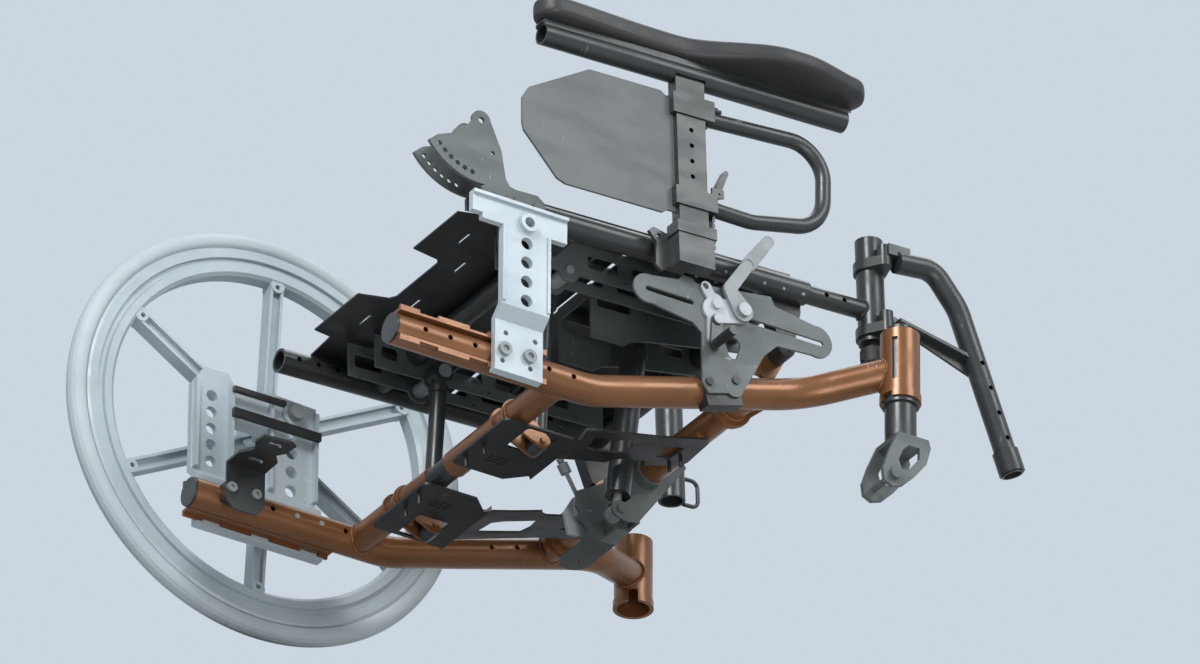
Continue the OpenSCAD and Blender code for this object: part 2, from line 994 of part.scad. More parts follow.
module pan_front() {
    color("#101010")
        in_seat()
            translate([0, 0, track_top])
                linear_extrude(height = pan_sheet)
                    difference() {
                        translate([-209, 190])
                            square([418, 182]);
                        for (s = [-1, 1]) {
                            slot2d([s * 130, 230], [s * 108, 230], 1.6);
                            slot2d([s * 130, 330], [s * 108, 330], 1.6);
                        }
                    }
}

module track_sheet(y0, y1) {
    difference() {
        union() {
            translate([y0, seat_z - 27])
                square([y1 - y0, 27 + track_rise]);
            translate(tilt_seat)
                circle(r = 14);
        }
        translate([89, seat_z])
            circle(r = 12.5);
        translate(tilt_seat)
            circle(r = pin_r, $fn = 40);
        for (y = [138, 196, 254, 312])
            if (y + 42 < y1)
                round_rect2d([y, seat_z - 14], [y + 40, seat_z + 3], 4);
        round_rect2d([y0 + 8, seat_z - 14], [66, seat_z + 3], 4);
        for (y = [184, 242, 300])
            translate([y + 3, seat_z - 20])
                circle(r = 2.5, $fn = 24);
    }
}

module track_plates() {
    color("#697070")
        in_seat()
            both() {
                sheet_x(160, 163)
                    track_sheet(20, 345);
                sheet_x(128, 131)
                    track_sheet(36, 340);
                for (y = [150, 235, 330])
                    box([131, y, seat_z + 6], [160, y + 3, track_top]);
            }
}

module strut_channel() {
    color("#697070")
        in_seat() {
            for (x = [22, 88])
                sheet_x(x, x + 3)
                    difference() {
                        polygon([[186, track_top], [186, 253], [230, 252.5], [242, 261],
                            [265, 267], [390, 287], [390, track_top]]);
                        round_rect2d([195, 294], [240, 308], 3);
                        round_rect2d([320, 300], [352, 312], 3);
                        translate(strut_top_seat)
                            circle(r = pin_r, $fn = 40);
                        translate([372, seat_z])
                            circle(r = 12.5);
                    }
            for (y = [186, 385])
                box([25, y, seat_z], [88, y + 3, track_top]);
            bar_x(19, 94, strut_top_seat, pin_r, $fn = 40);
        }
}

module tilt_pins() {
    color("#aeb6b9")
        in_seat()
            both() {
                bar_x(post_x - 11, 166, tilt_seat, pin_r, $fn = 40);
                bar_x(post_x - 14, post_x - 11, tilt_seat, 8, $fn = 40);
                difference() {
                    bar_x(131, 160, tilt_seat, 8.5, $fn = 40);
                    bar_x(130, 161, tilt_seat, pin_r, $fn = 40);
                }
            }
}

module rest_lugs() {
    color("#151515")
        in_seat()
            both()
                difference() {
                    sheet_x(188, 206)
                        polygon([[350, 300], [393, 300], [393, 284], [384, 243.7], [362, 243.7],
                            [350, 278]]);
                    bar_y(-42, 396, seat_x, seat_z, seat_r);
                    bar_x(180, 212, [372, seat_z], 12.5);
                }
}

quad_pivot = [-41.2, 398.4];

module quadrant2d() {
    difference() {
        union() {
            intersection() {
                translate(quad_pivot)
                    circle(r = 82, $fn = 96);
                polygon([[-53, 396], [-61, 386], [-69, 384], [-76, 378], [-80, 371], [-99, 364],
                    [-140, 330], [-90, 290], [-20, 290], [-6, 318], [-11, 331], [-16, 366],
                    [-29, 399]]);
            }
            translate(quad_pivot)
                circle(r = 12);
            polygon([[-43, 314], [-43, 300], [34, 299], [40, 304], [39, 314], [30, 321],
                [2, 321], [-6, 323], [-11, 331]]);
        }
        translate(quad_pivot)
            circle(r = 4, $fn = 32);
        translate([-27.4, 359.8])
            circle(r = 2.5, $fn = 24);
        for (i = [0 : 5])
            translate(quad_pivot + 71.5 * [cos(219 + 8 * i), sin(219 + 8 * i)])
                circle(r = 3.2, $fn = 24);
        for (y = [-22, 3.6, 29.2])
            translate([y, seat_z])
                circle(r = hole_r, $fn = 24);
    }
}

// Twin plates that let the backrest recline through a row of holes.
module back_quadrants() {
    color("#697070")
        in_seat() {
            for (x = [seat_x - seat_r - 4, seat_x + seat_r])
                sheet_x(x, x + 4)
                    quadrant2d();
            for (y = [-22, 3.6, 29.2]) {
                bar_x(seat_x - seat_r - 6, seat_x + seat_r + 6, [y, seat_z], hole_r, $fn = 24);
                bar_x(seat_x + seat_r + 4, seat_x + seat_r + 7, [y, seat_z], 5.5, $fn = 32);
            }
        }
}

module receiver_tube() {
    difference() {
        translate([seat_x, recv_y, 264])
            cylinder(r = recv_r, h = 133);
        translate([seat_x, recv_y, 263])
            cylinder(r = recv_bore, h = 135);
    }
}

module receiver_lug(z) {
    difference() {
        union() {
            translate([0, 0, z])
                linear_extrude(height = 12)
                    link2d([seat_x, recv_y], hinge, 19, 8.5);
            translate([hinge[0], hinge[1], z])
                cylinder(r = 4, h = 25, $fn = 40);
        }
        translate([seat_x, recv_y, z - 1])
            cylinder(r = recv_r, h = 40);
    }
}

module hanger_receivers() {
    color("#5a5f5f")
        in_seat() {
            both()
                receiver_tube();
            receiver_lug(355);
            receiver_lug(270);
            difference() {
                bent_bar([[-seat_x, recv_y + 12, 264], [-seat_x, recv_y + 36, 264],
                    [-seat_x, recv_y + 36, 298], [-seat_x, recv_y + 12, 298]], [0, 9, 9, 0], 2.5);
                translate([-seat_x, recv_y, 250])
                    cylinder(r = recv_r, h = 60);
            }
        }
}

module arm_socket() {
    color("#5a5f5f")
        in_seat() {
            difference() {
                union() {
                    box([240.5, 196, 270], [262, 243, 322]);
                    box([240.5, 194, 308], [263.5, 246, 322]);
                }
                box([243 - gap, post_y0 - gap, 272.7], [259 + gap, post_y1 + gap, 323]);
            }
            difference() {
                union() {
                    box([214, 202, 290], [240.5, 236, 319]);
                    bar_y(204, 234, seat_x, seat_z, 18.5);
                    sheet_x(236, 240.5)
                        polygon([[200, 312], [176, 318], [170, 312], [180, 300], [178, 270],
                            [186, 264], [200, 276]]);
                }
                bar_y(-42, 396, seat_x, seat_z, seat_r);
                box([190, 190, 312], [225, 250, 330]);
                bar_x(230, 245, [183, 308], 3, $fn = 24);
            }
        }
}

module along_strut() {
    translate([strut_x, strut_foot_at[0], strut_foot_at[1]])
        rotate([-strut_lean, 0, 0])
            children();
}

module strut_sleeve() {
    color("#6f7777")
        in_base()
            along_strut()
                difference() {
                    union() {
                        translate([0, 0, 22.4])
                            cylinder(r = 14.5, h = strut_len - 22.4 - 9);
                        bar_x(-12, 12, [0, strut_len], 12.5);
                        translate([0, 0, strut_len - 40])
                            cylinder(r = 16, h = 8);
                    }
                    translate([0, 0, 20])
                        cylinder(r = 7, h = strut_len - 38);
                    bar_x(-20, 20, [0, strut_len], pin_r + fit, $fn = 40);
                }
}

module strut_rod() {
    color("#c3cbce")
        in_base()
            along_strut()
                difference() {
                    union() {
                        cylinder(r = 5, h = strut_len - 21.4);
                        bar_x(-7.5, 7.5, [0, 0], 10);
                    }
                    bar_x(-20, 20, [0, 0], pin_r + fit, $fn = 40);
                }
}

module arm_post() {
    color("#5a5f5f")
        in_seat()
            difference() {
                box([243, post_y0, 273], [259, post_y1, 513]);
                box([245.5, post_y0 + 2.5, 272], [256.5, post_y1 - 2.5, 498]);
                for (z = [385, 405, 425, 445])
                    bar_x(255, 262, [219, z], 3, $fn = 24);
            }
}

module clamp_block(z0, z1) {
    difference() {
        box([240.8, 195, z0], [261.2, 250, z1]);
        box([243, post_y0, z0 - 1], [259, post_y1, z1 + 1]);
    }
}

module arm_clamps() {
    color("#3a3d3d")
        in_seat() {
            difference() {
                union() {
                    clamp_block(463, 489);
                    clamp_block(345, 368);
                    for (x = [243, 256.3])
                        sheet_x(x, x + 2.7)
                            polygon([[244, 366], [250, 366], [260, 368], [260, 378], [244, 378]]);
                }
                bent_bar(loop_path, loop_bend, 9);
                bar_x(240, 262, [255, 373], 2, $fn = 24);
                box([240, 196, 476], [244, 199, 489]);
                box([248.5 - (guard_sheet - 3), 190, 340], [251.5, 200, 500]);
            }
            bar_x(242, 260, [255, 373], 2, $fn = 24);
            box([242, post_y0 + 6, 513], [260, post_y1 - 6, 517]);
            difference() {
                box([247, 246, 302], [255, 249.5, 345]);
                for (z = [306 : 7 : 340])
                    box([246, 248, z], [256, 250, z + 3]);
            }
            bar_y(250, 258, 251, 484, 4.5);
            bar_y(258, 264, 251, 484, 3);
        }
}

module side_guard() {
    color("#8a9090")
        in_seat()
            sheet_x(251.5 - guard_sheet, 251.5)
                polygon([[90, 491], [184, 491], [193, 485], [200, 485], [200, 338], [189, 338],
                    [182, 333], [54, 333.5], [43, 338], [1, 388], [-1, 398], [0, 430], [9, 445]]);
}

loop_path = [[251, 243, 470], [251, 402, 477], [251, 397, 372], [251, 300, 353], [251, 243, 355]];
loop_bend = [0, 42, 46, 60, 0];

module transfer_loop() {
    color("#5a5f5f")
        in_seat()
            bent_bar(loop_path, loop_bend, 9);
}

module pad_tube() {
    color("#4a4e4e")
        in_seat() {
            difference() {
                bar_y(28, 430, arm_x, 519.5, 13);
                bar_y(27, 431, arm_x, 519.5, 10.5);
                box([239, post_y0 - 1, 500], [262, post_y1 + 1, 517]);
            }
            difference() {
                box([242, 26, 526], [262, 434, 534]);
                bar_y(20, 440, arm_x, 519.5, 13);
            }
        }
}

// Arm pad: straight inner side, drawn in waist and a broad front on the outer side, crowned top.
pad_n = 30;
pad_m = 24;
function smooth(t) = t <= 0 ? 0 : t >= 1 ? 1 : t * t * (3 - 2 * t);
function pad_out(t) = 279 - 9 * smooth(t / 0.4) + 41 * smooth((t - 0.42) / 0.3)
    - 22 * smooth((t - 0.76) / 0.24);
function pad_end(t) = let(a = (abs(2 * t - 1) - 0.88) / 0.12)
    a <= 0 ? 1 : sqrt(max(0.02, 1 - a * a));
function pad_point(t, j) = let(
        a = 360 * j / pad_m,
        c = (233 + pad_out(t)) / 2,
        h = (pad_out(t) - 233) / 2 * pad_end(t),
        sx = sign(cos(a)) * pow(abs(cos(a)), 0.62),
        sz = sign(sin(a)) * pow(abs(sin(a)), 0.62),
        half = pad_height / 2,
        crown = 1 - 0.12 * pow(abs(2 * t - 1), 4))
    [c + h * sx, 18 + pad_length * t, 534 + half * (1 + (sz > 0 ? sz * crown : sz))];
pad_pts = [for (i = [0 : pad_n], j = [0 : pad_m - 1]) pad_point(i / pad_n, j)];
pad_faces = concat(
    [for (i = [0 : pad_n - 1], j = [0 : pad_m - 1]) [i * pad_m + j, (i + 1) * pad_m + j,
        (i + 1) * pad_m + (j + 1) % pad_m, i * pad_m + (j + 1) % pad_m]],
    [[for (j = [0 : pad_m - 1]) j]],
    [[for (j = [pad_m - 1 : -1 : 0]) pad_n * pad_m + j]]);

module arm_pad() {
    color("#2a2c2c")
        in_seat()
            polyhedron(points = pad_pts, faces = pad_faces, convexity = 4);
}

module arm_lever() {
    color("#5a5f5f")
        in_seat()
            difference() {
                sheet_x(246, 256)
                    union() {
                        link2d([255, 373], [257, 384], 4.5, 4);
                        link2d([257, 384], [266, 404], 4, 3);
                    }
                bar_x(240, 262, [255, 373], 2 + fit, $fn = 24);
            }
}

module lock_lever() {
    color("#b9c2c6")
        in_base() {
            difference() {
                sheet_x(244.3, 249)
                    union() {
                        link2d(lock_pivot, [272, 266], 13, 8);
                        link2d([272, 266], [296, 304], 8, 7);
                    }
                bar_x(243, 252, lock_pivot, 5 + fit, $fn = 40);
            }
            sheet_x(244.3, 250)
                difference() {
                    link2d([297, 305.5], [323, 343], 8.5, 7);
                    link2d([272, 266], [296, 304], 8, 7);
                }
        }
}

module lock_shoe() {
    color("#4c5050")
        in_base()
            difference() {
                union() {
                    sheet_x(244.3, 248)
                        link2d(shoe_pivot, shoe_at, 7, 7.5);
                    bar_x(248, 284, shoe_at, 5.5);
                }
                bar_x(243, 250, shoe_pivot, 4 + fit, $fn = 40);
            }
}

hanger_foot = [240, 650 + (hanger_drop - 178) * 0.336, seat_z - hanger_drop];
hanger_path = [[240, 502.5, 362.3], [240, 552, 366], [240, 584, 324], hanger_foot];
hanger_bend = [0, 28, 60, 0];

module hanger_tube() {
    color("#4a4e4e")
        in_seat()
            difference() {
                bent_bar(hanger_path, hanger_bend, hang_r);
                rod(hanger_foot - 0.02 * (hanger_path[2] - hanger_foot),
                    hanger_foot + 0.8 * (hanger_path[2] - hanger_foot), 10.5);
                for (t = [0.35, 0.5, 0.65, 0.8])
                    translate(hanger_path[2] + t * (hanger_foot - hanger_path[2]))
                        rotate([0, 90, 0])
                            translate([0, 0, 5])
                                cylinder(r = 3, h = 20, $fn = 24);
            }
}

module hanger_hinge() {
    color("#2c2e2e")
        in_seat()
            difference() {
                union() {
                    translate([hinge[0], hinge[1], 367.3])
                        cylinder(r = 8, h = 13.7);
                    translate([hinge[0], hinge[1], 282.3])
                        cylinder(r = 8, h = 13.7);
                    box([233, 489, 367.3], [247, 518, 381]);
                    sheet_x(232, 235.5)
                        polygon([[489, 282.3], [489, 296], [590, 275], [612, 262], [612, 240],
                            [596, 246], [501, 282.3]]);
                    sheet_x(235, 246)
                        polygon([[502, 284.5], [502, 288], [604, 264], [604, 259.5]]);
                    rod(hanger_foot + 0.14 * (hanger_path[2] - hanger_foot),
                        hanger_foot + 0.01 * (hanger_path[2] - hanger_foot), hang_r + 2.5);
                }
                bent_bar(hanger_path, hanger_bend, hang_r);
                translate([hinge[0], hinge[1], 270])
                    cylinder(r = 4 + fit, h = 140, $fn = 40);
            }
}

module receiver_knob() {
    color("#151515")
        in_seat()
            translate([seat_x, recv_y, 0]) {
                translate([0, 0, 238])
                    cylinder(r = 14.5, h = 18);
                translate([0, 0, 256])
                    cylinder(r = 9, h = 8);
                translate([0, 0, 264])
                    cylinder(r = recv_bore - fit, h = 20);
                for (a = [0, 90])
                    rotate([0, 0, a])
                        box([-16, -3, 240], [16, 3, 252]);
            }
}

side_rail_right();
side_rail_left();
caster_housing_right();
caster_housing_left();
flange_strips();
rail_plugs();
rear_cross_sleeves();
rear_cross_core();
front_cross_sleeves();
front_cross_core();
gusset_plates();
bumpers();
tray_right();
tray_left();
tray_saddles();
post_clevises();
tilt_posts();
centre_plate();
strut_foot();
latch_block();
release_rod();
axle_plate_right();
axle_plate_left();
frame_bolts();
axle_bars();
wheel_axle();
accessory_bracket();
lock_slot_plate();
lock_clamp();
lock_base();
wheel_rim();
wheel_tyre();
caster_stem();
caster_fork();
seat_rails();
seat_cross_tubes();
seat_tracks();
pan_rear();
pan_front();
track_plates();
strut_channel();
tilt_pins();
rest_lugs();
back_quadrants();
hanger_receivers();
arm_socket();
strut_sleeve();
strut_rod();
arm_post();
arm_clamps();
side_guard();
transfer_loop();
pad_tube();
arm_pad();
arm_lever();
lock_lever();
lock_shoe();
hanger_tube();
hanger_hinge();
receiver_knob();
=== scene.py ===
# %% [markdown]
# Tilting wheelchair base, seen from below as in the photo.
# The base was made as exact CAD, because its holes, pins and pivots have to fit. This script opens
# that CAD, paints it, and adds what CAD is poor at: the foam arm pad, the tyre, weld beads, rivets
# and the ribbed grip of the wheel lock. Nothing that the CAD already holds is moved.

# %% Load the frame
import bmesh
import bpy
import json
import math
from mathutils import Matrix, Vector


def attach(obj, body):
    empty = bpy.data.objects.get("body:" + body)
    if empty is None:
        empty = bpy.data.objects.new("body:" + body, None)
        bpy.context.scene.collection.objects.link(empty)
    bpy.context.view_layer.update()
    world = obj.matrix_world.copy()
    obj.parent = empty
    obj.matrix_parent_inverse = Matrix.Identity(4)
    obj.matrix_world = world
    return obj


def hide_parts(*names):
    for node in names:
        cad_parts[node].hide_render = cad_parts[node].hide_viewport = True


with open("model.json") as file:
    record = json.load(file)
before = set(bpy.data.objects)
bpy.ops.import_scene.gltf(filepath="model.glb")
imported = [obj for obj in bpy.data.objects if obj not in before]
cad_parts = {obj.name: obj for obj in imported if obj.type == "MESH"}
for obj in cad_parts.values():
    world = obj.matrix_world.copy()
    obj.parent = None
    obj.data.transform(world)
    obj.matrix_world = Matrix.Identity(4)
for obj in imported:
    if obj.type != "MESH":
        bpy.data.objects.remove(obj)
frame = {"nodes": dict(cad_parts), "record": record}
NODES = frame["nodes"]
SLOT = {s["node"]: s["material_slot"] for s in frame["record"]["subparts"]}
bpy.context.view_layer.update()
print("frame loaded:", len(NODES), "nodes")

# %% [markdown]
# A wheelchair is drawn from its middle plane, the rear axle and the floor, but the frame counts from
# the mouth of the empty left caster socket. Every place below could be typed in the frame's own
# numbers, which would mean nothing to a reader. Two short functions turn chair millimetres into
# frame metres instead: D for the base, and S for the seat, which leans back a little on its pins.

# %% Places on the chair
MM = 1000
CASTER_SOCKET = (-281.0, 478.0, 165.0)
LEAN = math.radians(2.1)
LEAN_Y = 112
SEAT_Z = 306


def D(x, y, z):
    """A point of the base: right of the middle, ahead of the rear axle, above the floor."""
    return Vector(((x - CASTER_SOCKET[0]) / MM, (y - CASTER_SOCKET[1]) / MM, (z - CASTER_SOCKET[2]) / MM))


def S(x, y, z):
    """A point of the seat, given as if the seat were level."""
    dy, dz = y - LEAN_Y, z - SEAT_Z
    return D(x, LEAN_Y + dy * math.cos(LEAN) - dz * math.sin(LEAN),
             SEAT_Z + dy * math.sin(LEAN) + dz * math.cos(LEAN))


print("left caster socket at", tuple(D(*CASTER_SOCKET)))

# %% [markdown]
# The paints are procedural, so each is a small net of shader nodes. Wiring them one by one hides the
# idea behind the bookkeeping. These helpers each make one node, wire it and hand back its output, so
# a paint below reads like a formula.

# %% Shader helpers
def socket(tree, name, kind, value=None, out=False):
    s = tree.interface.new_socket(name=name, in_out="OUTPUT" if out else "INPUT", socket_type=kind)
    if value is not None:
        s.default_value = value
    return s


def node(tree, kind, **values):
    """A new node. A value named in_Scale sets the input Scale, any other sets the node itself."""
    n = tree.nodes.new(kind)
    for k, v in values.items():
        if k.startswith("in_"):
            n.inputs[k[3:].replace("_", " ")].default_value = v
        else:
            setattr(n, k, v)
    return n


def math_node(tree, op, a, b, clamp=False):
    n = node(tree, "ShaderNodeMath", operation=op, use_clamp=clamp)
    for i, v in enumerate((a, b)):
        if isinstance(v, (int, float)):
            n.inputs[i].default_value = v
        else:
            tree.links.new(v, n.inputs[i])
    return n.outputs[0]


def noise(tree, vec, scale, detail=4.0, rough=0.55):
    n = node(tree, "ShaderNodeTexNoise", in_Scale=scale, in_Detail=detail, in_Roughness=rough)
    tree.links.new(vec, n.inputs["Vector"])
    return n.outputs["Fac"]


def band(tree, value, low, high):
    """Soft step: 0 below low, 1 above high."""
    n = node(tree, "ShaderNodeMapRange", interpolation_type="SMOOTHSTEP")
    n.inputs["From Min"].default_value = low
    n.inputs["From Max"].default_value = high
    tree.links.new(value, n.inputs["Value"])
    return n.outputs["Result"]


def mix_color(tree, fac, a, b):
    n = node(tree, "ShaderNodeMix", data_type="RGBA")
    for i, v in ((0, fac), (6, a), (7, b)):
        if isinstance(v, (int, float, tuple)):
            n.inputs[i].default_value = v
        else:
            tree.links.new(v, n.inputs[i])
    return n.outputs[2]


def stretched(tree, vec, x, y, z):
    """The same place scaled by axis, which turns round noise into streaks."""
    n = node(tree, "ShaderNodeMapping")
    n.inputs["Scale"].default_value = (x, y, z)
    tree.links.new(vec, n.inputs["Vector"])
    return n.outputs[0]


print("shader helpers ready")

# %% [markdown]
# Every metal and plastic on a used chair ages in the same few ways: the tone drifts, hands and tools
# scratch it, dust settles where it faces up, and wiping leaves it shinier in streaks. Twelve copies
# of those nodes could go into twelve paints. One shader group holds them instead, and each paint
# says only how much of it shows.

# %% Handling wear
def wear_group():
    t = bpy.data.node_groups.new("handling wear", "ShaderNodeTree")
    socket(t, "Place", "NodeSocketVector")
    socket(t, "Amount", "NodeSocketFloat", 0.5)
    for name in ("Cloud", "Scratch", "Dust", "Smear"):
        socket(t, name, "NodeSocketFloat", out=True)
    i, o = t.nodes.new("NodeGroupInput"), t.nodes.new("NodeGroupOutput")
    p = i.outputs["Place"]
    amount = i.outputs["Amount"]
    cloud = noise(t, p, 7.0, 5.0)
    thin = noise(t, stretched(t, p, 18, 420, 60), 1.0, 3.0, 0.6)
    cross = noise(t, stretched(t, p, 300, 26, 90), 1.0, 3.0, 0.6)
    patch = band(t, noise(t, p, 22.0, 3.0), 0.52, 0.66)
    marks = math_node(t, "MAXIMUM", band(t, thin, 0.66, 0.71), band(t, cross, 0.68, 0.72))
    scratch = math_node(t, "MULTIPLY", math_node(t, "MULTIPLY", marks, patch), amount)
    geo = node(t, "ShaderNodeNewGeometry")
    facing = node(t, "ShaderNodeSeparateXYZ")
    t.links.new(geo.outputs["Normal"], facing.inputs[0])
    up = band(t, facing.outputs[2], 0.35, 0.95)
    specks = band(t, noise(t, p, 34.0, 6.0), 0.42, 0.75)
    dust = math_node(t, "MULTIPLY", math_node(t, "MULTIPLY", up, specks), amount)
    smear = band(t, noise(t, stretched(t, p, 40, 14, 40), 1.0, 4.0), 0.4, 0.7)
    for name, out in (("Cloud", cloud), ("Scratch", scratch), ("Dust", dust), ("Smear", smear)):
        t.links.new(out, o.inputs[name])
    return t


WEAR = wear_group()
print("group:", WEAR.name)

# %% [markdown]
# Close up, powder coat is fine orange peel, a casting is blasted, and rubber and foam skin have a
# pebble. All of these are small heights, so a bump does, and no mesh has to carry them. One group
# makes the height from noise, with cells on top where a surface has a pebble.

# %% Grain
def grain_group():
    t = bpy.data.node_groups.new("grain height", "ShaderNodeTree")
    socket(t, "Place", "NodeSocketVector")
    socket(t, "Fine", "NodeSocketFloat", 900.0)
    socket(t, "Pebble", "NodeSocketFloat", 0.0)
    socket(t, "Height", "NodeSocketFloat", out=True)
    i, o = t.nodes.new("NodeGroupInput"), t.nodes.new("NodeGroupOutput")
    n = node(t, "ShaderNodeTexNoise", in_Detail=2.0)
    t.links.new(i.outputs["Place"], n.inputs["Vector"])
    t.links.new(i.outputs["Fine"], n.inputs["Scale"])
    v = node(t, "ShaderNodeTexVoronoi", feature="SMOOTH_F1")
    t.links.new(i.outputs["Place"], v.inputs["Vector"])
    t.links.new(i.outputs["Fine"], v.inputs["Scale"])
    pebble = math_node(t, "MULTIPLY", v.outputs["Distance"], i.outputs["Pebble"])
    t.links.new(math_node(t, "ADD", n.outputs["Fac"], pebble), o.inputs["Height"])
    return t


GRAIN = grain_group()
print("group:", GRAIN.name)

# %% [markdown]
# One recipe serves all finishes: two close tones, the wear on top of them, dust last, and the grain
# as a bump. A scratch shows what is under the paint and also dents it. Rolled or brushed metal gets
# streaks along its length.

# %% Surface recipe
SHINE = 0.05
DUST_COLOR = (0.52, 0.50, 0.47, 1)
DUST_TINT = 0.16
DUST_ROUGH = 0.3
SMEAR_ROUGH = 0.14
STREAK_ROUGH = 0.12
SCRATCH_DEPTH = 1.5
COAT_ROUGH = 0.25


def surface(name, base, second, rough, metal=0.0, coat=0.0, wear=0.5, bare=None, fine=900.0,
            pebble=0.0, bump=0.15, depth=0.0004, streak=None):
    m = bpy.data.materials.new(name)
    m.use_nodes = True
    t = m.node_tree
    bsdf = t.nodes["Principled BSDF"]
    place = node(t, "ShaderNodeTexCoord").outputs["Object"]
    w = node(t, "ShaderNodeGroup", node_tree=WEAR)
    w.inputs["Amount"].default_value = wear
    t.links.new(place, w.inputs["Place"])
    g = node(t, "ShaderNodeGroup", node_tree=GRAIN)
    g.inputs["Fine"].default_value = fine
    g.inputs["Pebble"].default_value = pebble
    t.links.new(place, g.inputs["Place"])
    color = mix_color(t, band(t, w.outputs["Cloud"], 0.35, 0.68), base, second)
    height = g.outputs["Height"]
    smear = math_node(t, "MULTIPLY", w.outputs["Smear"], SMEAR_ROUGH)
    roughness = math_node(t, "ADD", smear, rough - SHINE)
    if streak:
        lines = noise(t, stretched(t, place, *streak), 1.0, 3.0, 0.6)
        height = math_node(t, "ADD", height, lines)
        roughness = math_node(t, "ADD", roughness, math_node(t, "MULTIPLY", lines, STREAK_ROUGH))
    if bare:
        color = mix_color(t, w.outputs["Scratch"], color, bare)
    color = mix_color(t, math_node(t, "MULTIPLY", w.outputs["Dust"], DUST_TINT), color, DUST_COLOR)
    dulled = math_node(t, "MULTIPLY", w.outputs["Dust"], DUST_ROUGH)
    roughness = math_node(t, "ADD", roughness, dulled, True)
    dent = math_node(t, "MULTIPLY", w.outputs["Scratch"], SCRATCH_DEPTH)
    height = math_node(t, "SUBTRACT", height, dent)
    b = node(t, "ShaderNodeBump")
    b.inputs["Strength"].default_value = bump
    b.inputs["Distance"].default_value = depth
    t.links.new(height, b.inputs["Height"])
    t.links.new(color, bsdf.inputs["Base Color"])
    t.links.new(roughness, bsdf.inputs["Roughness"])
    t.links.new(b.outputs["Normal"], bsdf.inputs["Normal"])
    bsdf.inputs["Metallic"].default_value = metal
    bsdf.inputs["Coat Weight"].default_value = coat
    bsdf.inputs["Coat Roughness"].default_value = COAT_ROUGH
    return m


print("surface recipe ready")

# %% [markdown]
# The base frame is powder coated copper brown, the seat frame dark grey, and the axle plates and wheel
# are pale castings. The sheets are painted near black as painted shade: they stand for the grey plate
# material in shadow under the chair, and are black on every side. The colours are chosen so that they
# come out like the photo's under the lamps below, and none of the pale ones clips to white.

# %% Paints
MAT = {
    "copper_paint": surface(
        "copper powder coat", (0.215, 0.090, 0.033, 1), (0.170, 0.070, 0.025, 1), 0.34,
        metal=0.45, coat=0.2, wear=0.45, bare=(0.62, 0.45, 0.34, 1), fine=1400.0),
    "dark_tube": surface(
        "dark grey paint", (0.036, 0.040, 0.041, 1), (0.025, 0.028, 0.029, 1), 0.36,
        metal=0.25, coat=0.15, bare=(0.30, 0.31, 0.31, 1), fine=1300.0),
    "grey_plate": surface(
        "zinc grey plate", (0.098, 0.112, 0.112, 1), (0.078, 0.090, 0.090, 1), 0.46,
        metal=0.2, wear=0.55, bare=(0.42, 0.44, 0.44, 1), fine=1100.0, streak=(260, 9, 9)),
    # painted shade: the sheet parts are near black on every side, standing for the grey plate material
    # seen in shadow
    "black_sheet": surface(
        "black sheet painted as shade", (0.010, 0.010, 0.011, 1), (0.016, 0.016, 0.017, 1), 0.44,
        wear=0.7, bare=(0.13, 0.13, 0.13, 1), fine=1500.0),
    "die_cast": surface(
        "blasted casting", (0.45, 0.51, 0.54, 1), (0.385, 0.445, 0.475, 1), 0.46,
        metal=0.25, wear=0.6, bare=(0.75, 0.79, 0.82, 1), fine=2200.0, pebble=0.6, bump=0.3),
    "wheel_cast": surface(
        "wheel casting", (0.43, 0.495, 0.53, 1), (0.37, 0.43, 0.465, 1), 0.48,
        metal=0.1, bare=(0.68, 0.74, 0.78, 1), fine=1900.0, pebble=0.4, bump=0.25),
    "tyre": surface(
        "grey tyre", (0.475, 0.535, 0.565, 1), (0.41, 0.47, 0.50, 1), 0.66,
        wear=0.8, bare=(0.30, 0.33, 0.35, 1), fine=800.0, pebble=0.5, bump=0.35),
    "rubber_black": surface(
        "black rubber", (0.012, 0.012, 0.012, 1), (0.020, 0.020, 0.020, 1), 0.62,
        wear=0.6, bare=(0.08, 0.08, 0.08, 1), fine=700.0, pebble=0.6, bump=0.4),
    "bright_steel": surface(
        "plated steel", (0.26, 0.28, 0.285, 1), (0.23, 0.25, 0.255, 1), 0.48,
        metal=0.35, wear=0.4, bare=(0.50, 0.51, 0.52, 1), fine=1800.0, streak=(30, 600, 30)),
    "light_paint": surface(
        "light enamel", (0.38, 0.41, 0.44, 1), (0.34, 0.37, 0.40, 1), 0.44,
        coat=0.15, bare=(0.40, 0.42, 0.45, 1), fine=1500.0),
    "guard_board": surface(
        "grey guard board", (0.105, 0.118, 0.119, 1), (0.088, 0.099, 0.100, 1), 0.5,
        wear=0.6, bare=(0.27, 0.29, 0.29, 1), fine=1600.0, pebble=0.8, bump=0.3),
    "pad_foam": surface(
        "foam skin", (0.020, 0.021, 0.022, 1), (0.030, 0.031, 0.032, 1), 0.5,
        bare=(0.05, 0.05, 0.05, 1), fine=620.0, pebble=1.6, bump=0.35, depth=0.0005),
}
for name, o in NODES.items():
    o.data.materials.clear()
    o.data.materials.append(MAT[SLOT[name]])
print("painted", len(NODES), "nodes in", len(MAT), "surfaces")

# %% [markdown]
# The arm pad and the tyre are both one skin drawn through a row of rings: the pad from end to end,
# the tyre round and back to its start. So one function joins rings, closes the ends or wraps them,
# and a second one gives the result its paint. The normals are worked out again last, because a row
# of rings may run either way.

# %% Skin through rings
def mesh_object(name, verts, faces, slot):
    me = bpy.data.meshes.new(name)
    me.from_pydata([tuple(v) for v in verts], [], faces)
    me.validate()
    me.update()
    me.polygons.foreach_set("use_smooth", [True] * len(me.polygons))
    me.materials.append(MAT[slot])
    o = bpy.data.objects.new(name, me)
    bpy.context.scene.collection.objects.link(o)
    return o


